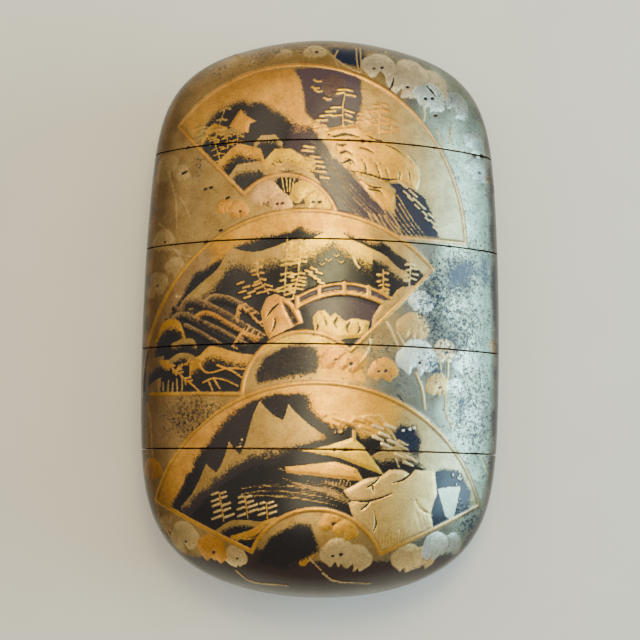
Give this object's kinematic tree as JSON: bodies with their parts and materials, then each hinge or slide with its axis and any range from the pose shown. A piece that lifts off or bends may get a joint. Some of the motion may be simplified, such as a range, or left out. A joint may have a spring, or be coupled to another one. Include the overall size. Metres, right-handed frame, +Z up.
{
  "type": "inro case",
  "caption": "Small flat oval lacquered case of stacked compartments with a lid and cord channels at its sides, lying on its back, with painted fan scenes.",
  "frame": {"origin": "centre of the whole stack's box at its lowest level, on the flat strip along the back that it lies on", "axes": "+X across the width, +Y from the base to the lid, +Z up, out of the front face"},
  "size_m": [0.0544, 0.085, 0.0249],
  "materials": {
    "gold_lacquer": "polished gold and brown-black sprinkled lacquer over a thin wooden core"
  },
  "bodies": {
    "root": {"lid": "gold_lacquer", "tray_1": "gold_lacquer", "tray_2": "gold_lacquer", "tray_3": "gold_lacquer", "base": "gold_lacquer"}
  },
  "joints": []
}
